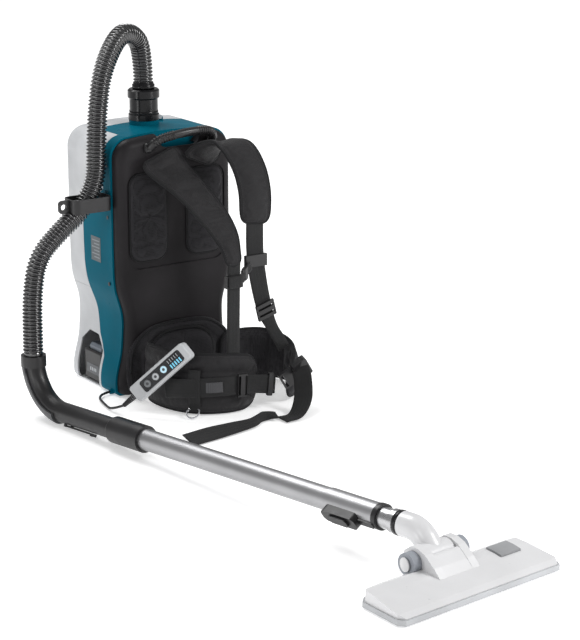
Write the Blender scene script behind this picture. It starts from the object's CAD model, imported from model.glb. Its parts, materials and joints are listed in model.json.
"""Looks of the backpack vacuum cleaner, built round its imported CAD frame. Metres, row frame."""

import json
import math

import bmesh
import bpy
import numpy as np
from mathutils import Matrix, Vector
from mathutils.bvhtree import BVHTree


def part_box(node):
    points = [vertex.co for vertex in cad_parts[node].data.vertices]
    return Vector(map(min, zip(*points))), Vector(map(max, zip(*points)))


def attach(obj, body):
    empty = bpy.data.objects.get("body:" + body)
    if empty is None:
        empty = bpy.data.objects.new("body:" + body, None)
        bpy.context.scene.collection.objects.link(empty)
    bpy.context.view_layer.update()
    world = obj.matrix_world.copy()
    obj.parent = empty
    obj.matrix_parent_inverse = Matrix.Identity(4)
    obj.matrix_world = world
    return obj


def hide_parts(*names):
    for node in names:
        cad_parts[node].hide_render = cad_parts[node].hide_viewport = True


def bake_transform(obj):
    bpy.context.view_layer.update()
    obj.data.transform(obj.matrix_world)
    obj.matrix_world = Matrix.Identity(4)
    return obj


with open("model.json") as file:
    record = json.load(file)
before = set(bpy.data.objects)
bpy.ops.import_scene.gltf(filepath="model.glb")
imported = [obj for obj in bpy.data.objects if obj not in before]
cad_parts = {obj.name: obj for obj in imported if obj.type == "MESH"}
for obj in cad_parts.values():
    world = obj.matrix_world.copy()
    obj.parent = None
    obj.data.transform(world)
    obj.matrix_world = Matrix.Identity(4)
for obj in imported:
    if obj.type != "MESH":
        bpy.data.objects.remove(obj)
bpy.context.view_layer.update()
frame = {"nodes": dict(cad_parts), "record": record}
NODES = frame["nodes"]
MM = 0.001

# ---- camera and object helpers -----------------------------------------------------
AZIMUTH, ELEVATION = math.radians(-34.0), math.radians(15.5)
CAMERA_PLACE = (-2.092, -3.608, 1.275)
LENS, SENSOR = 118.125, 36.0


def set_camera():
    back = Vector((math.sin(AZIMUTH) * math.cos(ELEVATION),
                   -math.cos(AZIMUTH) * math.cos(ELEVATION), math.sin(ELEVATION)))
    right = (-back).cross(Vector((0, 0, 1))).normalized()
    up = back.cross(right)
    data = bpy.data.cameras.new("camera")
    data.sensor_fit, data.sensor_width, data.lens = "AUTO", SENSOR, LENS
    data.clip_start, data.clip_end = 0.1, 60.0
    camera = bpy.data.objects.new("camera", data)
    bpy.context.scene.collection.objects.link(camera)
    turn = Matrix((right, up, back)).transposed().to_4x4()
    camera.matrix_world = Matrix.Translation(CAMERA_PLACE) @ turn
    bpy.context.scene.camera = camera


def new_object(name, mesh):
    obj = bpy.data.objects.new(name, mesh)
    bpy.context.scene.collection.objects.link(obj)
    return obj


def mesh_object(name, verts, faces, smooth=True):
    mesh = bpy.data.meshes.new(name)
    mesh.from_pydata([tuple(map(float, v)) for v in verts], [], faces)
    mesh.validate()
    mesh.update()
    if smooth:
        mesh.polygons.foreach_set("use_smooth", [True] * len(mesh.polygons))
    return new_object(name, mesh)


# ---- materials ---------------------------------------------------------------------
class Graph:
    """A material's node tree with short helpers."""

    def __init__(self, name):
        self.material = bpy.data.materials.new(name)
        self.material.use_nodes = True
        self.tree = self.material.node_tree
        self.tree.nodes.clear()
        self.shader = self.add("ShaderNodeBsdfPrincipled")
        output = self.add("ShaderNodeOutputMaterial")
        self.tree.links.new(self.shader.outputs["BSDF"], output.inputs["Surface"])

    def add(self, kind, inputs=(), **settings):
        node = self.tree.nodes.new(kind)
        for key, value in settings.items():
            setattr(node, key, value)
        for key, value in dict(inputs).items():
            self.put(node.inputs[key], value)
        return node

    def put(self, socket, value):
        if isinstance(value, bpy.types.NodeSocket):
            self.tree.links.new(value, socket)
        else:
            socket.default_value = value

    def math(self, operation, a, b=0.0, clamp=False):
        return self.add("ShaderNodeMath", {0: a, 1: b}, operation=operation, use_clamp=clamp).outputs[0]

    def coords(self, scale=(1, 1, 1), rotation=(0, 0, 0), uv=None):
        if uv:
            source = self.add("ShaderNodeUVMap", uv_map=uv).outputs["UV"]
        else:
            source = self.add("ShaderNodeTexCoord").outputs["Object"]
        mapping = self.add("ShaderNodeMapping", {"Vector": source, "Scale": scale, "Rotation": rotation})
        return mapping.outputs["Vector"]

    def noise(self, scale, detail=3.0, vector=None, rough=0.5):
        return self.add("ShaderNodeTexNoise", {"Vector": vector or self.coords(), "Scale": scale,
                                               "Detail": detail, "Roughness": rough}).outputs["Fac"]

    def ramp(self, value, low, high, start=0.0, end=1.0):
        return self.add("ShaderNodeMapRange", {"Value": value, "From Min": low, "From Max": high,
                                               "To Min": start, "To Max": end}).outputs["Result"]

    def mix(self, factor, a, b):
        node = self.add("ShaderNodeMix", data_type="RGBA")
        self.put(node.inputs[0], factor)
        self.put(node.inputs[6], a)
        self.put(node.inputs[7], b)
        return node.outputs[2]

    def bump(self, height, strength, distance, normal=None):
        inputs = {"Height": height, "Strength": strength, "Distance": distance}
        if normal is not None:
            inputs["Normal"] = normal
        return self.add("ShaderNodeBump", inputs).outputs["Normal"]

    def set(self, **sockets):
        for key, value in sockets.items():
            self.put(self.shader.inputs[key.replace("_", " ")], value)
        return self.material


def rgb(r, g, b):
    return (r, g, b, 1.0)


def scaled(colour, factor):
    return tuple(min(c * factor, 1.0) for c in colour[:3]) + (1.0,)


def moulded(name, colour, rough, grain=1600.0, depth=0.25, coat=0.0, wear=0.12, shine=0.5):
    """Moulded plastic: fine spark-eroded grain, faint cloudy wear in colour and roughness."""
    g = Graph(name)
    cloud = g.noise(9.0, 4.0)
    fine = g.noise(grain, 2.0)
    tint = g.mix(g.ramp(cloud, 0.35, 0.7), scaled(colour, 1 - wear), scaled(colour, 1 + wear))
    smudge = g.ramp(g.noise(30.0, 5.0, rough=0.7), 0.3, 0.7, rough - 0.05, rough + 0.07)
    g.set(Base_Color=tint, Roughness=smudge, Specular_IOR_Level=shine, Coat_Weight=coat, Coat_Roughness=0.12,
          Normal=g.bump(fine, depth, 0.00012))
    return g.material


def metal(name, colour, rough, direction=None, depth=0.15):
    """Metal with fine drawn lines along a direction."""
    g = Graph(name)
    rotation = (0, 0, 0)
    if direction is not None:
        rotation = Vector(direction).rotation_difference(Vector((1, 0, 0))).to_euler()
    lines = g.noise(1.0, 3.0, g.coords((6, 1400, 1400), rotation))
    cloud = g.noise(14.0, 4.0)
    g.set(Base_Color=g.mix(g.ramp(cloud, 0.3, 0.7), scaled(colour, 0.94), scaled(colour, 1.04)), Metallic=1.0,
          Roughness=g.ramp(lines, 0.3, 0.7, rough - 0.04, rough + 0.08), Normal=g.bump(lines, depth, 0.00005))
    return g.material


def woven(name, colour, pitch, uv=None, depth=0.6, sheen=0.35, rough=0.85, lift=1.35):
    """Plain weave over the piece's own coordinates, or over a UV map in metres."""
    g = Graph(name)
    k = 2 * math.pi / pitch
    vector = g.coords((k, k, k), uv=uv)
    split = g.add("ShaderNodeSeparateXYZ", {"Vector": vector})
    x, y, z = (g.math("SINE", split.outputs[i]) for i in range(3))
    cross = g.math("MULTIPLY", x, y)
    if uv is None:
        cross = g.math("ADD", cross, g.math("MULTIPLY", y, z))
        cross = g.math("ADD", cross, g.math("MULTIPLY", z, x))
    thread = g.ramp(cross, -1.0, 1.0)
    fuzz = g.noise(700.0, 3.0)
    cloud = g.noise(16.0, 5.0, rough=0.6)
    height = g.math("ADD", thread, g.math("MULTIPLY", fuzz, 0.5))
    dark = g.mix(thread, scaled(colour, 0.6), scaled(colour, lift))
    tint = g.mix(g.ramp(cloud, 0.3, 0.75), dark, g.mix(0.25, dark, scaled(colour, 2.0)))
    g.set(Base_Color=tint, Roughness=g.ramp(cloud, 0.2, 0.8, rough - 0.08, rough + 0.08), Sheen_Weight=sheen,
          Sheen_Roughness=0.4, Specular_IOR_Level=0.25, Normal=g.bump(height, depth, pitch * 0.18))
    return g.material


def webbing_material(name, colour):
    """Flat-woven strap: cross ribs, two raised borders and a herring-bone body, over a UV map in metres."""
    g = Graph(name)
    uv = g.add("ShaderNodeUVMap", uv_map="strip").outputs["UV"]
    split = g.add("ShaderNodeSeparateXYZ", {"Vector": uv})
    u, v = split.outputs[0], split.outputs[1]
    zig = g.math("PINGPONG", v, 0.0035)
    rib = g.math("SINE", g.math("MULTIPLY", g.math("ADD", u, zig), 2 * math.pi / 0.0017))
    warp = g.math("SINE", g.math("MULTIPLY", v, 2 * math.pi / 0.0012))
    fuzz = g.noise(900.0, 3.0)
    height = g.math("ADD", g.math("MULTIPLY", rib, 0.5), g.math("MULTIPLY", warp, 0.3))
    height = g.math("ADD", height, g.math("MULTIPLY", fuzz, 0.4))
    cloud = g.noise(22.0, 4.0)
    tint = g.mix(g.ramp(height, -0.6, 1.1), scaled(colour, 0.55), scaled(colour, 1.6))
    tint = g.mix(g.ramp(cloud, 0.35, 0.8, 0.0, 0.35), tint, scaled(colour, 2.1))
    g.set(Base_Color=tint, Roughness=0.78, Sheen_Weight=0.08, Specular_IOR_Level=0.25,
          Normal=g.bump(height, 0.7, 0.0003))
    return g.material


def mesh_material(name, colour):
    """Spacer mesh: round holes on a fine lattice."""
    g = Graph(name)
    cells = g.add("ShaderNodeTexVoronoi", {"Vector": g.coords(), "Scale": 330.0, "Randomness": 0.15})
    hole = g.ramp(cells.outputs["Distance"], 0.18, 0.42)
    cloud = g.noise(18.0, 4.0)
    tint = g.mix(hole, scaled(colour, 0.25), g.mix(cloud, scaled(colour, 1.2), scaled(colour, 2.2)))
    g.set(Base_Color=tint, Roughness=0.9, Sheen_Weight=0.08, Specular_IOR_Level=0.2,
          Normal=g.bump(hole, 0.8, 0.0006))
    return g.material


def lamp_cover(name, colour):
    """Clear coloured cover over a small lamp, softly lit from behind."""
    g = Graph(name)
    cloud = g.noise(60.0, 2.0)
    tint = g.mix(cloud, scaled(colour, 0.8), scaled(colour, 1.2))
    g.set(Base_Color=tint, Roughness=0.22, Coat_Weight=0.5, Emission_Color=tint, Emission_Strength=0.35)
    return g.material


WAND = Vector((0.1207, -0.9915, 0.0480)).normalized()
WAND_START = (-271.5, -452.0, 38.5)
BLACK = (0.014, 0.0135, 0.0145)
MAT = {}


def make_materials():
    MAT.update({
        "teal_plastic": moulded("teal_plastic", (0.001, 0.104, 0.156), 0.32, 1100.0, 0.08, 0.0, 0.06, 0.02),
        "grey_plastic": moulded("grey_plastic", (0.50, 0.51, 0.525), 0.46, 1300.0, 0.35, shine=0.3),
        "white_plastic": moulded("white_plastic", (0.69, 0.69, 0.70), 0.32, 900.0, 0.12, 0.25, 0.04),
        "black_plastic": moulded("black_plastic", BLACK, 0.36, 1500.0, 0.35, 0.0, 0.25, 0.4),
        "black_gloss": moulded("black_gloss", (0.007, 0.007, 0.008), 0.24, 700.0, 0.10, 0.0, 0.2, 0.25),
        "panel_plastic": moulded("panel_plastic", (0.015, 0.0135, 0.015), 0.48, 1900.0, 0.5, 0.0, 0.2, 0.14),
        "dark_grey_plastic": moulded("dark_grey_plastic", (0.055, 0.056, 0.060), 0.44, 1500.0, 0.3),
        "blue_grey_plastic": moulded("blue_grey_plastic", (0.14, 0.165, 0.195), 0.42, 1500.0, 0.3),
        "padding": woven("padding", (0.012, 0.0113, 0.0125), 0.0016, sheen=0.05, rough=0.6),
        "mesh": mesh_material("mesh", (0.013, 0.0125, 0.014)),
        "webbing": webbing_material("webbing", (0.013, 0.013, 0.0135)),
        "bag_paper": woven("bag_paper", (0.62, 0.57, 0.48), 0.0022, depth=0.3, sheen=0.1),
        "filter_foam": mesh_material("filter_foam", (0.10, 0.10, 0.11)),
        "wand_metal": metal("wand_metal", (0.40, 0.40, 0.41), 0.40, WAND),
        "inner_metal": metal("inner_metal", (0.50, 0.50, 0.51), 0.26, WAND),
        "steel": metal("steel", (0.55, 0.55, 0.57), 0.3),
        "chrome_wire": metal("chrome_wire", (0.72, 0.72, 0.74), 0.12),
        "copper_board": moulded("copper_board", (0.01, 0.10, 0.035), 0.35, 500.0, 0.2),
        "contact_metal": metal("contact_metal", (0.75, 0.52, 0.22), 0.25),
        "bristle": woven("bristle", (0.04, 0.04, 0.045), 0.0012, depth=1.0),
        "wheel_rubber": moulded("wheel_rubber", (0.29, 0.31, 0.345), 0.6, 900.0, 0.6),
        "pedal_grey": moulded("pedal_grey", (0.30, 0.305, 0.315), 0.5, 1200.0, 0.3, shine=0.3),
        "dark_metal": metal("dark_metal", (0.05, 0.055, 0.06), 0.4),
        "cuff_gloss": moulded("cuff_gloss", (0.006, 0.006, 0.007), 0.22, 500.0, 0.06, 0.0, 0.15, 0.25),
        "hose_gloss": moulded("hose_gloss", (0.006, 0.006, 0.007), 0.22, 500.0, 0.05, 0.6, 0.15, 0.9),
        "screen": moulded("screen", (0.010, 0.011, 0.014), 0.16, 500.0, 0.05, 0.3, 0.1, 0.3),
        "patch": woven("patch", (0.060, 0.060, 0.064), 0.0011, depth=0.4),
        "led": lamp_cover("led", (0.16, 0.52, 0.70)),
        "key_light": moulded("key_light", (0.50, 0.52, 0.54), 0.35, 600.0, 0.1),
        "key_ring": moulded("key_ring", (0.20, 0.21, 0.22), 0.35, 600.0, 0.1),
        "key_cyan": lamp_cover("key_cyan", (0.42, 0.62, 0.72)),
        "plate": moulded("plate", (0.045, 0.065, 0.075), 0.35, 800.0, 0.15),
        "plate_ink": moulded("plate_ink", (0.20, 0.22, 0.24), 0.4, 800.0, 0.15),
        "label_grey": moulded("label_grey", (0.055, 0.060, 0.068), 0.32, 900.0, 0.15),
        "thread": woven("thread", (0.035, 0.034, 0.037), 0.0008, depth=0.4, sheen=0.05),
        "binding": woven("binding", (0.010, 0.010, 0.011), 0.0011, depth=0.5, sheen=0.05),
    })


OWN_FINISH = {"casing_fasteners": "dark_metal", "hose_cuff": "cuff_gloss", "remote_panel": "screen",
              "head_pedal": "pedal_grey", "wand_latch_housing": "black_plastic"}


def dress_cad():
    """Every CAD node takes the finish of its slot in the record, or one of its own."""
    for part in frame["record"]["subparts"]:
        data = NODES[part["node"]].data
        data.materials.clear()
        data.materials.append(MAT[OWN_FINISH.get(part["node"], part["material_slot"])])


def give(obj, slot, body="pack"):
    obj.data.materials.clear()
    obj.data.materials.append(MAT[slot])
    if body:
        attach(obj, body)
    return obj


# ---- curves and tubes --------------------------------------------------------------
def nurbs_points(points, step=0.004):
    """Points read from a quadratic NURBS whose control points are the given ones (metres)."""
    data = bpy.data.curves.new("route", "CURVE")
    data.dimensions = "3D"
    data.resolution_u = 24
    spline = data.splines.new("NURBS")
    spline.points.add(len(points) - 1)
    for p, c in zip(spline.points, points):
        p.co = (*c, 1.0)
    spline.order_u = 3
    spline.use_endpoint_u = True
    curve = bpy.data.objects.new("route", data)
    bpy.context.scene.collection.objects.link(curve)
    bpy.context.view_layer.update()
    mesh = bpy.data.meshes.new_from_object(curve.evaluated_get(bpy.context.evaluated_depsgraph_get()))
    line = np.array([v.co for v in mesh.vertices], float)
    bpy.data.objects.remove(curve)
    bpy.data.meshes.remove(mesh)
    bpy.data.curves.remove(data)
    return resample(line, step)


def resample(line, step):
    lengths = np.r_[0, np.cumsum(np.linalg.norm(np.diff(line, axis=0), axis=1))]
    count = max(int(round(lengths[-1] / step)), 2) + 1
    at = np.linspace(0, lengths[-1], count)
    return np.stack([np.interp(at, lengths, line[:, i]) for i in range(3)], axis=1)


def path_length(line):
    return float(np.linalg.norm(np.diff(line, axis=0), axis=1).sum())


def moving_frames(line):
    """Rotation-minimising frames: tangent, first and second normal at each point."""
    tangents = np.gradient(line, axis=0)
    tangents /= np.linalg.norm(tangents, axis=1)[:, None]
    seed = np.array([0.0, 0.0, 1.0]) if abs(tangents[0][2]) < 0.9 else np.array([1.0, 0.0, 0.0])
    n = seed - tangents[0] * seed.dot(tangents[0])
    firsts = []
    for t in tangents:
        n = n - t * n.dot(t)
        n /= np.linalg.norm(n)
        firsts.append(n)
    firsts = np.array(firsts)
    return tangents, firsts, np.cross(tangents, firsts)


def ring_mesh(name, rings, closed=True):
    """Mesh through equal rings of points, with end caps."""
    rings = np.asarray(rings, float)
    count, around = rings.shape[:2]
    faces = []
    for i in range(count - 1):
        for j in range(around):
            k = (j + 1) % around
            faces.append((i * around + j, i * around + k, (i + 1) * around + k, (i + 1) * around + j))
    if closed:
        faces.append(tuple(range(around))[::-1])
        faces.append(tuple((count - 1) * around + j for j in range(around)))
    return outward(mesh_object(name, rings.reshape(-1, 3), faces))


def outward(obj):
    """Turns a closed piece's faces to look out."""
    bm = bmesh.new()
    bm.from_mesh(obj.data)
    bmesh.ops.recalc_face_normals(bm, faces=bm.faces)
    bm.to_mesh(obj.data)
    bm.free()
    return obj


def tube_mesh(name, line, radii, around=32):
    _, a, b = moving_frames(line)
    turn = np.linspace(0, 2 * np.pi, around, endpoint=False)
    circle = np.cos(turn)[None, :, None] * a[:, None, :] + np.sin(turn)[None, :, None] * b[:, None, :]
    radii = np.broadcast_to(np.asarray(radii, float), (len(line),))
    return ring_mesh(name, line[:, None, :] + circle * radii[:, None, None])


# ---- cords -------------------------------------------------------------------------
HOSE_ROUTE = [(-5.0, 10.0, 600.4), (-5.0, 10.0, 679.0), (-37.2, -6.0, 715.0), (-81.1, -27.8, 718.0),
              (-133.1, -53.6, 656.0), (-151.0, -62.5, 575.0), (-156.4, -65.2, 502.0),
              (-159.0, -66.5, 444.0), (-191.0, -70.0, 392.0), (-246.0, -74.0, 354.0),
              (-298.0, -78.0, 309.0), (-313.0, -81.0, 240.0), (-316.3, -83.7, 172.0),
              (-316.3, -83.7, 120.0)]
CABLE_ROUTE = [(-137.5, -62.0, 7.0), (-156.0, -64.0, 6.0), (-173.0, -82.0, 5.0), (-179.0, -106.0, 4.5),
               (-185.0, -134.0, 4.5), (-190.0, -162.0, 6.0), (-179.4, -194.4, 21.1)]
HOSE_PITCH = 0.0072
HOSE_VALLEY, HOSE_RIDGE, HOSE_END = 0.0166, 0.0033, 0.0185
CABLE_RADIUS = 0.0025


def metres(points):
    return [tuple(c * MM for c in p) for p in points]


def make_cords():
    line = nurbs_points(metres(HOSE_ROUTE), HOSE_PITCH / 8)
    at = np.arange(len(line)) * (path_length(line) / (len(line) - 1))
    phase = (at / HOSE_PITCH) % 1.0
    profile = np.clip(1.5 * np.sin(np.pi * phase) ** 1.4 - 0.35, 0, 1)
    ends = np.minimum(at, at[-1] - at) < 0.006
    radii = np.where(ends, HOSE_END, HOSE_VALLEY + HOSE_RIDGE * profile)
    hose = tube_mesh("hose_skin", line, radii, 56)
    give(hose, "hose_gloss")
    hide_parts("hose")
    line = nurbs_points(metres(CABLE_ROUTE), 0.002)
    cable = tube_mesh("cable_skin", line, CABLE_RADIUS, 20)
    give(cable, "black_plastic")
    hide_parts("remote_cable")


# ---- soft goods --------------------------------------------------------------------
def unit(v):
    v = np.asarray(v, float)
    return v / np.linalg.norm(v, axis=-1, keepdims=True)


def through(values, counts=12):
    """Catmull-Rom curve through rows of numbers."""
    rows = np.asarray(values, float)
    rows = np.vstack([2 * rows[0] - rows[1], rows, 2 * rows[-1] - rows[-2]])
    out = []
    for a, b, c, d in zip(rows, rows[1:], rows[2:], rows[3:]):
        for t in np.linspace(0, 1, counts, endpoint=False):
            out.append(0.5 * (2 * b + (c - a) * t + (2 * a - 5 * b + 4 * c - d) * t * t
                              + (3 * b - a - 3 * c + d) * t ** 3))
    out.append(rows[-2])
    return np.array(out)


def even_rows(rows, step):
    at = np.r_[0, np.cumsum(np.linalg.norm(np.diff(rows[:, :3], axis=0), axis=1))]
    count = max(int(round(at[-1] / step)), 3) + 1
    even = np.linspace(0, at[-1], count)
    return np.stack([np.interp(even, at, rows[:, i]) for i in range(rows.shape[1])], axis=1), even


def station_lines(stations, step):
    """Centres, unit across, unit normal, widths and distances along; stations in mm."""
    rows = [[c * MM for c in centre] + list(unit(across)) + [width * MM]
            for centre, across, width in stations]
    rows, at = even_rows(through(rows), step)
    centres, across, widths = rows[:, :3], unit(rows[:, 3:6]), rows[:, 6]
    tangents = unit(np.gradient(centres, axis=0))
    across = unit(across - tangents * np.sum(across * tangents, axis=1)[:, None])
    return centres, across, np.cross(tangents, across), widths, at


def ribbon(name, stations, thickness=2.2, step=0.003, slot="webbing", body="pack"):
    """Flat webbing with rounded selvedges and a UV map in metres."""
    centres, across, normals, widths, at = station_lines(stations, step)
    half = thickness * MM / 2
    lanes = np.array([-1, -0.97, -0.6, -0.2, 0.2, 0.6, 0.97, 1])
    lift = np.array([0.35, 0.95, 1, 1, 1, 1, 0.95, 0.35])
    section = [(v, h) for v, h in zip(lanes, lift)] + [(v, -h) for v, h in zip(lanes[::-1], lift[::-1])]
    ring = np.array(section)
    points = (centres[:, None] + across[:, None] * (ring[None, :, 0, None] * widths[:, None, None] / 2)
              + normals[:, None] * (ring[None, :, 1, None] * half))
    obj = ring_mesh(name, points)
    layer = obj.data.uv_layers.new(name="strip")
    around = len(section)
    u = np.repeat(at, around)
    v = (ring[None, :, 0] * widths[:, None] / 2).ravel()
    index = np.array([loop.vertex_index for loop in obj.data.loops])
    layer.data.foreach_set("uv", np.stack([u[index], v[index]], axis=1).ravel())
    return give(obj, slot, body)


def capsules(name, centres, directions, length, radius, slot, body="pack"):
    """Many small rounded rods in one mesh, such as a row of stitches."""
    verts, faces = [], []
    profile = [(-0.5, 0.45), (-0.3, 1.0), (0.3, 1.0), (0.5, 0.45)]
    for centre, direction in zip(centres, unit(directions)):
        a = unit(np.cross(direction, [0.31, 0.42, 0.85]))
        b = np.cross(direction, a)
        base = len(verts)
        for along, wide in profile:
            for k in range(6):
                t = math.pi * k / 3
                verts.append(centre + direction * along * length
                             + (a * math.cos(t) + b * math.sin(t)) * wide * radius)
        for i in range(3):
            for k in range(6):
                m = (k + 1) % 6
                faces.append((base + i * 6 + k, base + i * 6 + m, base + i * 6 + 6 + m, base + i * 6 + 6 + k))
        faces.append(tuple(base + k for k in range(6))[::-1])
        faces.append(tuple(base + 18 + k for k in range(6)))
    return give(mesh_object(name, verts, faces), slot, body)


def stitch_row(name, line, surface, pitch=0.0042, slot="thread"):
    """Stitches laid on a surface along a line of points."""
    tree = BVHTree.FromObject(surface, bpy.context.evaluated_depsgraph_get())
    line = resample(np.asarray(line), pitch)
    centres = []
    for p in line:
        hit = tree.find_nearest(Vector(p))
        centres.append(np.array(hit[0] + hit[1] * 0.0003))
    centres = np.array(centres)
    steps = np.gradient(centres, axis=0)
    return capsules(name, centres, steps, pitch * 0.66, 0.00055, slot)


CLOTH_FRAMES = 20


def settle(obj, pinned, pressure=4.0, cap=0.0045):
    """Cloth inflates the piece a little between its pinned seams; how far a point moves is capped."""
    rest = np.array([v.co for v in obj.data.vertices])
    group = obj.vertex_groups.new(name="pin")
    group.add([int(i) for i in pinned], 1.0, "REPLACE")
    cloth = obj.modifiers.new("Cloth", "CLOTH")
    settings = cloth.settings
    settings.quality = 5
    settings.mass = 0.25
    settings.tension_stiffness = settings.compression_stiffness = 18
    settings.shear_stiffness = 6
    settings.bending_stiffness = 0.4
    settings.use_pressure = True
    settings.uniform_pressure_force = pressure
    settings.vertex_group_mass = "pin"
    settings.effector_weights.gravity = 0
    settings.shrink_min = -0.03
    cloth.point_cache.frame_start, cloth.point_cache.frame_end = 1, CLOTH_FRAMES
    scene = bpy.context.scene
    for number in range(1, CLOTH_FRAMES + 1):
        scene.frame_set(number)
    shape = obj.evaluated_get(bpy.context.evaluated_depsgraph_get()).data
    moved = np.array([v.co for v in shape.vertices])
    obj.modifiers.remove(cloth)
    scene.frame_set(1)
    shift = moved - rest
    size = np.linalg.norm(shift, axis=1, keepdims=True)
    shift *= np.minimum(1.0, cap / np.maximum(size, 1e-9))
    obj.data.vertices.foreach_set("co", (rest + shift).ravel())
    obj.vertex_groups.clear()
    obj.data.update()


def smooth_up(obj, levels=1):
    """Subdivides the finished shape and keeps the result as plain mesh."""
    subdivide = obj.modifiers.new("subdivide", "SUBSURF")
    subdivide.levels = subdivide.render_levels = levels
    mesh = bpy.data.meshes.new_from_object(obj.evaluated_get(bpy.context.evaluated_depsgraph_get()))
    obj.modifiers.clear()
    old = obj.data
    obj.data = mesh
    bpy.data.meshes.remove(old)
    mesh.polygons.foreach_set("use_smooth", [True] * len(mesh.polygons))


def fabric_noise(points, scale, seed):
    """Smooth, repeatable noise over points, about -1 to 1."""
    rng = np.random.default_rng(seed)
    total = np.zeros(len(points))
    for _ in range(9):
        wave = unit(rng.normal(size=3)) * scale * rng.uniform(0.5, 1.4)
        total += np.sin(points @ wave + rng.uniform(0, 6.28))
    return total / 3.2


def quilted(name, node, stations, thickness, grooves=(), ribs=(), slot="padding",
            crown=0.55, lanes=22, seed=1):
    """Pad along stations, stuffed between a sewn rim and any sewn channels, with a bound edge and stitching.

    grooves are lengthways channels as v from -1 to 1; ribs are crossways ones as u from 0 to 1."""
    centres, across, normals, widths, at = station_lines(stations, 0.0042)
    v = np.sin(np.linspace(-1, 1, lanes + 1) * math.pi / 2 * 0.92) / math.sin(math.pi / 2 * 0.92)
    ends = np.minimum(at, at[-1] - at)
    rounding = np.sqrt(np.clip(1 - (1 - np.clip(ends / 0.016, 0, 1)) ** 2, 0, 1))
    reach = widths / 2 - 0.014 * (1 - rounding)
    side = (1 - np.abs(v))[None, :] * reach[:, None]
    edge = np.minimum(side, ends[:, None] + 0.0 * side)
    half = thickness * MM / 2
    body = np.clip((edge - 0.0065) / 0.014, 0, 1)
    height = 0.0013 + np.clip(edge / 0.004, 0, 1) * half * 0.26
    height = height + half * (crown - 0.2) * np.sin(body * math.pi / 2) ** 0.8
    pinch = np.zeros_like(edge)
    for g in grooves:
        pinch = np.maximum(pinch, np.exp(-(((v[None, :] - g) * reach[:, None]) / 0.0035) ** 2))
    for r in ribs:
        pinch = np.maximum(pinch, np.exp(-((at[:, None] - r * at[-1]) / 0.0035) ** 2) * (edge > 0.012))
    height = height * (1 - 0.62 * pinch)
    plan = centres[:, None] + across[:, None] * (v[None, :, None] * reach[:, None, None])
    crease = fabric_noise(plan.reshape(-1, 3), 95.0, seed).reshape(edge.shape) * body * half * 0.07
    top = plan + normals[:, None] * (height + crease)[..., None]
    bottom = plan - normals[:, None] * (height - crease * 0.6)[..., None]
    n, m = edge.shape
    verts = np.vstack([top.reshape(-1, 3), bottom.reshape(-1, 3)])
    low = n * m
    faces = []
    for i in range(n - 1):
        for j in range(m - 1):
            a = i * m + j
            faces.append((a, a + 1, a + m + 1, a + m))
            faces.append((low + a, low + a + m, low + a + m + 1, low + a + 1))
        for j, k in ((0, 1), (m - 1, -1)):
            a, b = i * m + j, (i + 1) * m + j
            faces.append((a, b, low + b, low + a)[::k])
    for i, k in ((0, -1), (n - 1, 1)):
        for j in range(m - 1):
            a = i * m + j
            faces.append((a, a + 1, low + a + 1, low + a)[::k])
    obj = outward(mesh_object(name, verts, faces))
    stiff = (edge < 0.0075) | (pinch > 0.45)
    pinned = np.flatnonzero(np.r_[stiff.ravel(), stiff.ravel()])
    settle(obj, pinned)
    smooth_up(obj)
    give(obj, slot)
    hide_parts(node)
    loop = np.vstack([plan[:, 0], plan[-1, 1:-1], plan[::-1, -1], plan[0, -2:0:-1], plan[:2, 0]])
    binding = tube_mesh(name + "_binding", resample(even_rows(loop, 0.004)[0], 0.004), 0.0027, 12)
    give(binding, "binding")
    rim = max(int(np.argmin(np.abs(side[n // 2] [: m // 2] - 0.0055))), 1)
    for face, tag in ((top, "out"), (bottom, "in")):
        sewn = np.vstack([face[1:-1, rim], face[-2, rim:m - rim], face[-2:0:-1, m - 1 - rim]])
        stitch_row(name + "_stitches_" + tag, sewn, obj)
    return obj


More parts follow.
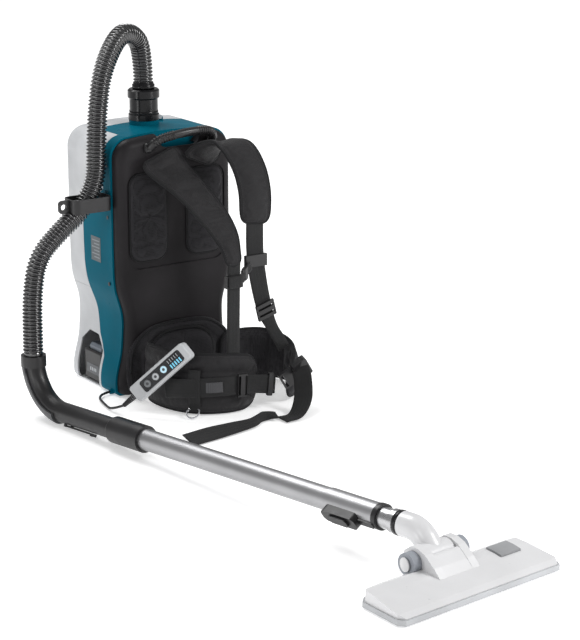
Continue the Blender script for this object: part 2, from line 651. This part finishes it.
def cushion(name, outline, place, depth, grooves=(), seams=(), slot="mesh", rings=16,
            seed=3, rim=0.010, base=0.0, replaced=()):
    """Pad standing on a panel: outline in the plane, crowned towards the plane's third axis."""
    outline = np.asarray(outline, float)
    closed, _ = even_rows(np.vstack([np.c_[outline, np.zeros(len(outline))],
                                     [[*outline[0], 0.0]]]), 0.0055)
    edge = closed[:-1, :2]
    count = len(edge)
    middle = np.array([edge[:, 0].mean(), edge[:, 1].mean()])
    span = np.linalg.norm(edge - middle, axis=1).min()
    shares = np.linspace(0, 1, rings + 1)[:-1] ** 1.15
    verts, inward = [], []
    for share in shares:
        ring = edge * (1 - share) + middle * share
        inward.append(np.full(count, share * span))
        verts.append(ring)
    verts.append(middle[None])
    inward.append(np.array([span]))
    plan = np.vstack(verts)
    d = np.concatenate(inward)
    body = np.clip(d / rim, 0, 1)
    crown = np.clip((d - rim) / (span - rim), 0, 1)
    height = depth * (0.28 + 0.42 * np.sqrt(1 - (1 - body) ** 2) + 0.16 * crown)
    pinch = np.zeros_like(d)
    for g in grooves:
        pinch = np.maximum(pinch, np.exp(-((d - g) / 0.0028) ** 2))
    for seam in seams:
        pinch = np.maximum(pinch, np.exp(-((plan[:, 1] - seam) / 0.0030) ** 2))
    height = height * (1 - 0.45 * pinch)
    height += fabric_noise(np.c_[plan, plan[:, :1]], 60.0, seed) * depth * 0.03 * body
    origin, ax, ay, out = [np.asarray(p, float) for p in place]
    skin = origin + plan[:, :1] * ax + plan[:, 1:2] * ay + (base + height)[:, None] * out
    foot = origin + edge[:, :1] * ax + edge[:, 1:2] * ay + base * out
    verts = np.vstack([skin, foot])
    faces = []
    low = len(skin)
    for k in range(rings - 1):
        for i in range(count):
            j = (i + 1) % count
            faces.append((k * count + i, k * count + j, (k + 1) * count + j, (k + 1) * count + i))
    last = (rings - 1) * count
    for i in range(count):
        j = (i + 1) % count
        faces.append((last + i, last + j, low - 1))
        faces.append((low + i, low + j, j, i))
    faces.append(tuple(low + i for i in range(count))[::-1])
    obj = outward(mesh_object(name, verts, faces))
    stiff = np.r_[(d < 0.004) | (pinch > 0.4), np.full(count, True)]
    settle(obj, np.flatnonzero(stiff), cap=0.0035)
    smooth_up(obj)
    give(obj, slot)
    if replaced:
        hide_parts(*replaced)


def piping(name, outline, place, lift, radius=0.0026, slot="binding", inset=0.0):
    """Raised cord sewn along an outline."""
    outline = np.asarray(outline, float)
    middle = outline.mean(axis=0)
    span = np.linalg.norm(outline - middle, axis=1).min()
    outline = outline * (1 - inset / span) + middle * (inset / span)
    origin, ax, ay, out = [np.asarray(p, float) for p in place]
    line = origin + outline[:, :1] * ax + outline[:, 1:2] * ay + lift * out
    line = np.vstack([line, line[:1]])
    return give(tube_mesh(name, resample(line, 0.004), radius, 12), slot)


def rounded_outline(low, high, radius, steps=7):
    (x0, y0), (x1, y1) = low, high
    points = []
    for cx, cy, start in ((x1 - radius, y1 - radius, 0), (x0 + radius, y1 - radius, 90),
                          (x0 + radius, y0 + radius, 180), (x1 - radius, y0 + radius, 270)):
        for k in range(steps + 1):
            t = math.radians(start + 90 * k / steps)
            points.append((cx + radius * math.cos(t), cy + radius * math.sin(t)))
    return np.array(points)


NEAR_PAD = [((-44, -112, 488), 100), ((-30, -137, 459), 90), ((-14, -175, 430), 78), ((-4, -210, 405), 72),
            ((2, -245, 379), 66), ((4, -277, 353), 54), ((3, -300, 327), 38), ((4, -309, 298), 32)]
FAR_PAD = [((40, -118, 470), 88), ((58, -138, 495), 84), ((80, -158, 505), 78), ((95, -184, 497), 74),
           ((102, -212, 463), 72), ((102, -231, 422), 70), ((99, -238, 384), 68), ((96, -240, 358), 60)]
NEAR_WING = [(-92, -122), (-103, -150), (-102, -200), (-87, -248), (-60, -283), (-20, -304), (20, -309),
             (50, -302), (74, -290)]
NEAR_TOPS = [118, 122, 124, 124, 124, 122, 116, 106, 84]
NEAR_LOWS = [14, 6, 5, 5, 5, 5, 5, 8, 26]
FAR_WING = [(92, -128), (138, -122), (178, -134), (197, -168), (196, -205), (176, -248), (150, -278),
            (122, -300)]
FAR_TOPS = [104, 106, 104, 98, 92, 84, 72, 58]
FAR_LOWS = [16, 8, 5, 5, 5, 5, 6, 14]
WING_T = 17.0
PANEL_FACE = -0.104


def wing_stations(plan, lows, tops, inward):
    """Stations down the middle of a belt wing, from its outer plan line."""
    plan = np.asarray(plan, float)
    tangent = unit(np.gradient(plan, axis=0))
    normal = np.stack([-tangent[:, 1], tangent[:, 0]], axis=1) * inward
    middle = plan + normal * WING_T / 2
    return [((x, y, (low + top) / 2), (0, 0, 1), top - low)
            for (x, y), low, top in zip(middle, lows, tops)]


def make_pads():
    across = (1, 0, 0)
    quilted("shoulder_near_skin", "shoulder_pad_near", [(p, across, w) for p, w in NEAR_PAD], 15, seed=11)
    quilted("shoulder_far_skin", "shoulder_pad_far", [(p, across, w) for p, w in FAR_PAD], 15, seed=12)
    quilted("waist_near_skin", "waist_pad_near", wing_stations(NEAR_WING, NEAR_LOWS, NEAR_TOPS, 1), WING_T,
            grooves=(-0.44, 0.42), seed=13, slot="padding")
    quilted("waist_far_skin", "waist_pad_far", wing_stations(FAR_WING, FAR_LOWS, FAR_TOPS, 1), WING_T,
            ribs=(0.22, 0.36, 0.5, 0.64, 0.78), seed=14, slot="mesh")
    for side, tag in ((-1, "left"), (1, "right")):
        place = ((0, PANEL_FACE + 0.0025, 0), (1, 0, 0), (0, 0, 1), (0, -1, 0))
        low, high = ((0.024, 0.277), (0.106, 0.454)) if side > 0 else ((-0.106, 0.277), (-0.024, 0.454))
        outline = rounded_outline(low, high, 0.024)
        cushion("back_pad_" + tag, outline, place, 0.0118, seams=(0.314,), seed=20 + side, rim=0.016,
                replaced=("back_pads",) if side < 0 else ())
        piping("back_pad_piping_" + tag, outline, place, 0.0022, 0.0021)
    arch = through([(-126, 52), (-121, 92), (-106, 118), (-74, 140), (-34, 148), (34, 148), (74, 140),
                    (106, 118), (121, 92), (126, 52)], 6)
    outline = np.vstack([arch, [(120, 16)], [(60, 16)], [(0, 16)], [(-60, 16)], [(-120, 16)]]) * MM
    place = ((0, PANEL_FACE - 0.0004, 0), (1, 0, 0), (0, 0, 1), (0, -1, 0))
    cushion("lumbar_skin", outline, place, 0.0138, grooves=(0.017,), seed=31, rim=0.013, rings=22,
            replaced=("lumbar_pad",))
    piping("lumbar_piping_outer", outline, place, 0.0088, 0.0026, inset=0.003)
    piping("lumbar_piping_inner", outline, place, 0.0098, 0.0026, inset=0.017)


def make_dust_bag():
    """Pleated paper bag inside the pack, slack between its folds."""
    low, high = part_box("dust_bag")
    (x0, y0, z0), (x1, y1, z1) = low, high
    rings = []
    for i, z in enumerate(np.linspace(z0 + 0.002, z1 - 0.002, 45)):
        fold = 0.004 * (1 if i % 4 in (0, 1) else -0.2)
        rounding = 0.02 * (1 - math.sqrt(max(1 - (2 * (z - z0) / (z1 - z0) - 1) ** 6, 0)))
        inset = fold + rounding + 0.001
        edge = rounded_outline((x0 + inset, y0 + inset), (x1 - inset, y1 - inset), 0.032)
        rings.append([(x, y, z) for x, y in edge])
    bag = ring_mesh("dust_bag_skin", rings)
    count = len(rings[0])
    settle(bag, list(range(count)) + list(range(len(bag.data.vertices) - count, len(bag.data.vertices))),
           pressure=1.5, cap=0.002)
    give(bag, "bag_paper")
    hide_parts("dust_bag")


def lane(points, across, width):
    return [(p, across, width) for p in points]


NEAR_WEB = [(4, -308.6, 306), (3, -308, 250), (5, -303, 180), (8, -297, 118)]
FAR_WEB = [((96.5, -239.6, 372), 40), ((94, -244, 300), 40), ((103, -243, 240), 38), ((122, -236, 178), 34),
           ((142, -232, 138), 25), ((162, -228, 108), 25), ((181, -216, 84), 25)]
BELT_WEB = [(-107, -228, 52), (-80, -273, 58), (-22, -307.5, 61), (20, -312.5, 59), (52, -312, 55),
            (82, -315, 50), (92, -318, 49)]
LOOP = [(-67.4, -276.3, 94), (-71.1, -279.1, 78), (-71.1, -279.1, 40), (-69.6, -277.9, 24),
        (-71.9, -279.8, 12)]
TAIL_DOWN = [((133, -344, 84), (0.50, -0.5, 0.55), 38), ((132, -356, 60), (0.55, -0.5, 0.4), 38),
             ((118, -376, 27), (0.6, -0.6, 0.2), 38), ((88, -396, 7), (0.35, -0.93, 0.1), 38),
             ((56, -396, 3.5), (0.2, -0.97, 0.0), 38)]
TAIL_TWIST = [((56, -378, 8), (0, 1, 0.05), 34), ((38, -372, 9), (0.3, 0.9, 0.3), 26),
              ((16, -380, 10), (0.2, 0.7, 0.6), 18), ((-14, -396, 10), (0, 0.85, 0.5), 22),
              ((-60, -402, 10), (0, 0.92, 0.38), 32), ((-112, -408, 10), (0, 0.93, 0.36), 38),
              ((-168, -415, 9), (0, 0.94, 0.34), 38)]


def make_webbing():
    x, z = (1, 0, 0), (0, 0, 1)
    near = ribbon("shoulder_web_near", lane(NEAR_WEB, x, 28), 4.2)
    ribbon("shoulder_web_far", [(p, x, width) for p, width in FAR_WEB])
    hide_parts("shoulder_webbing")
    belt = ribbon("belt_web", lane(BELT_WEB, z, 38))
    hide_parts("waist_webbing")
    ribbon("belt_hanger", lane(LOOP, (0.61, -0.79, 0), 24))
    ribbon("belt_tail_down", TAIL_DOWN, 2.0)
    ribbon("belt_tail_twist", TAIL_TWIST, 2.0)
    ribbon("belt_patch", lane([(-60, -287.4, 59.5), (-42, -300.4, 60.0), (-24, -309.2, 60.8)], z, 21), 1.2,
           slot="patch")
    chest_line = [(22.8, -301.6, 267), (30, -292.6, 267), (37.6, -285.2, 267.6)]
    chest = ribbon("chest_web_near", lane(chest_line, z, 19), 1.8, body=None)
    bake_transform(chest)
    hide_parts("chest_webbing")
    ribbon("chest_web_far", lane([(60.5, -263.2, 269.6), (70, -257, 273.5), (79, -252.4, 278)], z, 20), 1.8)
    ribbon("chest_loop_near", lane([(4, -313.8, 256), (4, -315.0, 268), (4, -313.8, 280)], x, 31), 2.0)


# ---- hard details ------------------------------------------------------------------
def box_mesh(name, low, high, slot, body="pack", bevel=0.0006, place=None):
    """Small box with bevelled edges; place is (origin, x, y, z axes) or the row frame."""
    bm = bmesh.new()
    bmesh.ops.create_cube(bm, size=1.0)
    low, high = np.array(low, float), np.array(high, float)
    for vert in bm.verts:
        vert.co = Vector((low + high) / 2 + np.array(vert.co) * (high - low))
    if bevel:
        bmesh.ops.bevel(bm, geom=list(bm.edges), offset=bevel, segments=2, affect="EDGES", profile=0.5)
    if place is not None:
        origin, ax, ay, az = [Vector(p) for p in place]
        for vert in bm.verts:
            x, y, z = vert.co
            vert.co = origin + ax * x + ay * y + az * z
    mesh = bpy.data.meshes.new(name)
    bm.to_mesh(mesh)
    bm.free()
    return give(new_object(name, mesh), slot, body)


def lathe(name, profile, origin, axis, slot, body="pack", around=40):
    """Turned piece: profile rows are (distance along the axis, radius)."""
    origin, axis = np.asarray(origin, float), unit(axis)
    seed = [0, 0, 1] if abs(axis[2]) < 0.9 else [1, 0, 0]
    a = unit(np.cross(axis, seed))
    b = np.cross(axis, a)
    t = np.linspace(0, 2 * math.pi, around, endpoint=False)
    circle = np.cos(t)[:, None] * a + np.sin(t)[:, None] * b
    rings = [origin + axis * along + circle * max(radius, 1e-5) for along, radius in profile]
    return give(ring_mesh(name, rings), slot, body)


def make_handle():
    """Carry handle: bellows at both ends of a smooth, slightly waisted grip."""
    route = [(-62, -112, 504), (-56, -122, 519), (-28, -129, 527), (8, -131, 531), (46, -129, 532),
             (74, -121, 526), (81, -112, 512)]
    line = nurbs_points(metres(route), 0.0008)
    share = np.linspace(0, 1, len(line))
    at = share * path_length(line)
    near_end = np.minimum(share, 1 - share)
    ribbed = (near_end > 0.09) & (near_end < 0.34)
    bead = np.abs(np.sin(np.pi * at / 0.0052)) ** 0.6
    radii = np.where(ribbed, 0.0070 + 0.0024 * bead, 0.0074 + 0.0012 * np.cos((share - 0.5) * 6.0))
    radii = np.where(near_end < 0.09, 0.0090, radii)
    handle = give(tube_mesh("carry_handle_skin", line, radii, 32), "black_plastic")
    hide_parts("carry_handle")
    for tag, x, z in (("left", -0.062, 0.503), ("right", 0.082, 0.509)):
        box_mesh("carry_handle_foot_" + tag, (x - 0.010, -0.1105, z - 0.010), (x + 0.010, -0.1005, z + 0.010),
                 "black_plastic", bevel=0.0045)


REMOTE_LOW = Vector((-0.162, -0.210, 0.043))
REMOTE_HIGH = Vector((-0.084, -0.280, 0.141))


def remote_place():
    """Origin and axes of the remote: across, out of its face, up its length."""
    up = (REMOTE_HIGH - REMOTE_LOW).normalized()
    across = Vector((-0.78, -0.62, 0.12)).cross(up).normalized()
    out = up.cross(across).normalized()
    return REMOTE_LOW, across, out, up


def make_remote():
    origin, across, out, up = remote_place()
    place = (origin, across, out, up)
    for name, z, slot in (("power", 38, "key_ring"), ("speed", 60, "key_light"), ("standby", 82, "key_cyan")):
        centre = origin + up * z * MM
        lathe("remote_disc_" + name, [(0.0118, 0.0), (0.0118, 0.0070), (0.0124, 0.0066), (0.0124, 0.0)],
              centre, out, slot, "key_" + name, 36)
        lathe("remote_mark_" + name, [(0.0123, 0.0), (0.0123, 0.0030), (0.0126, 0.0028), (0.0126, 0.0)],
              centre, out, "dark_grey_plastic", "key_" + name, 24)
    for i in range(5):
        z = 0.0965 + i * 0.0058
        box_mesh("remote_led_%d" % i, (-0.0105, 0.0104, z), (-0.0015, 0.0112, z + 0.0030), "led",
                 bevel=0.0003, place=place)
        box_mesh("remote_tick_%d" % i, (0.0015, 0.0104, z + 0.0008), (0.0085, 0.0110, z + 0.0018),
                 "key_light", bevel=0.0002, place=place)
    sleeve = [(-0.0330, 0.0), (-0.0330, 0.0041)]
    for k in range(7):
        at = -0.0315 + 0.0042 * k
        sleeve += [(at, 0.0044 + 0.0003 * k), (at + 0.0026, 0.0048 + 0.0003 * k),
                   (at + 0.0030, 0.0042 + 0.0003 * k)]
    sleeve += [(-0.0020, 0.0072), (0.0004, 0.0072), (0.0010, 0.0)]
    lathe("remote_sleeve", sleeve, origin, up, "black_plastic")
    for i in range(3):
        low, high = 0.058 + 0.012 * i, 0.064 + 0.012 * i
        box_mesh("remote_grip_%d" % i, (0.0176, -0.006, low), (0.0186, 0.006, high),
                 "grey_plastic", bevel=0.0004, place=place)


def make_case_details():
    """Rating plate and battery labels, with plain bars instead of wording."""
    box_mesh("rating_plate", (-0.1354, -0.034, 0.268), (-0.1346, 0.004, 0.318), "plate", bevel=0.0002)
    for row in range(6):
        z = 0.275 + 0.0068 * row
        long = 0.030 if row % 2 else 0.022
        box_mesh("rating_row_%d" % row, (-0.1357, -0.030, z), (-0.1352, -0.030 + long, z + 0.0022),
                 "plate_ink", bevel=0.0)
    for side, tag in ((-1, "left"), (1, "right")):
        low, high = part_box("battery_" + tag)
        outer = low.x if side < 0 else high.x
        mid_y, span_y = (low.y + high.y) / 2, high.y - low.y
        near, far = sorted((outer + side * 0.0006, outer - side * 0.0004))
        z = low.z + (high.z - low.z) * 0.22
        reach = span_y * 0.36
        box_mesh("battery_label_" + tag, (near, mid_y - reach, z), (far, mid_y + reach, z + 0.020),
                 "label_grey", "battery_" + tag, bevel=0.0002)
        for k in range(4):
            y = mid_y - span_y * 0.20 + k * span_y * 0.10
            box_mesh("battery_bar_%s_%d" % (tag, k), (near - 0.0003, y, z + 0.006),
                     (far + 0.0003, y + 0.003, z + 0.013),
                     "key_light", "battery_" + tag, bevel=0.0)


def make_hose_fittings():
    """Bead at the cuff's foot and the ring at the hose's end."""
    x, y = -0.005, 0.010
    lathe("cuff_bead_low", [(0.548, 0.0262), (0.549, 0.0292), (0.5565, 0.0292), (0.5575, 0.0262)], (x, y, 0),
          (0, 0, 1), "black_gloss", "hose_cuff")
    lathe("hose_end_ring", [(0.6004, 0.0215), (0.6015, 0.0226), (0.6085, 0.0226), (0.6095, 0.0205),
                            (0.6130, 0.0205), (0.6140, 0.0188)], (x, y, 0), (0, 0, 1), "black_gloss",
          "hose_cuff")


def make_head_details():
    """White hub caps on the rollers and the seal ring under the elbow."""
    for side, tag in ((-1, "left"), (1, "right")):
        low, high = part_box("head_roller_" + tag)
        outer = low.x if side < 0 else high.x
        centre = (outer, (low.y + high.y) / 2, (low.z + high.z) / 2)
        lathe("roller_cap_" + tag, [(-0.001, 0.0118), (0.0006, 0.0118), (0.0012, 0.0108), (0.0012, 0.0)],
              centre, (side, 0, 0), "white_plastic", "roller_" + tag, 40)
    seal = [(0.6575, 0.0204), (0.6580, 0.0214), (0.6672, 0.0214), (0.6678, 0.0204)]
    lathe("wand_seal_ring", seal, Vector(metres([WAND_START])[0]), WAND, "black_gloss", "wand_inner")


# ---- light and floor ----------------------------------------------------------------
def light(name, location, target, size, power, tall=None):
    data = bpy.data.lights.new(name, "AREA")
    data.shape, data.size, data.energy = "RECTANGLE", size, power
    data.size_y = tall or size
    obj = bpy.data.objects.new(name, data)
    bpy.context.scene.collection.objects.link(obj)
    obj.matrix_world = Matrix.Translation(location) @ (
        Vector(target) - Vector(location)).to_track_quat("-Z", "Y").to_matrix().to_4x4()


FLOOR_HALF = 14.0
LIGHTS = [("key", (2.2, -3.2, 3.0), (0.0, -0.3, 0.2), 1.2, 104),
          ("top", (-0.3, 1.4, 3.0), (0, -0.1, 0.2), 1.6, 72),
          ("left", (-3.0, -1.6, 2.2), (-0.1, -0.2, 0.2), 1.2, 20),
          ("low_left", (-3.3, -0.6, 0.45), (0.0, 0.0, 0.3), 0.5, 14, 0.8),
          ("low_right", (2.2, -3.4, 0.45), (0.0, 0.0, 0.3), 0.5, 16, 0.8)]


def set_stage():
    corners = [(-1, -1), (1, -1), (1, 1), (-1, 1)]
    floor = mesh_object("floor", [(x * FLOOR_HALF, y * FLOOR_HALF, 0) for x, y in corners], [(0, 1, 2, 3)])
    g = Graph("studio_floor")
    away = g.add("ShaderNodeVectorMath", {0: g.coords()}, operation="LENGTH").outputs["Value"]
    g.set(Base_Color=rgb(0.93, 0.93, 0.93), Roughness=0.6, Specular_IOR_Level=0.1,
          Emission_Color=rgb(1, 1, 1), Emission_Strength=g.ramp(away, 1.0, 4.0, 0.38, 0.72))
    floor.data.materials.append(g.material)
    world = bpy.data.worlds.new("studio")
    bpy.context.scene.world = world
    world.use_nodes = True
    background = world.node_tree.nodes["Background"]
    background.inputs["Color"].default_value = (1.0, 1.0, 1.0, 1.0)
    background.inputs["Strength"].default_value = 0.34
    for row in LIGHTS:
        light(*row)
    bpy.context.scene.view_settings.view_transform = "Standard"


set_camera()
make_materials()
dress_cad()
make_cords()
make_pads()
make_dust_bag()
make_webbing()
make_handle()
make_remote()
make_case_details()
make_hose_fittings()
make_head_details()
set_stage()
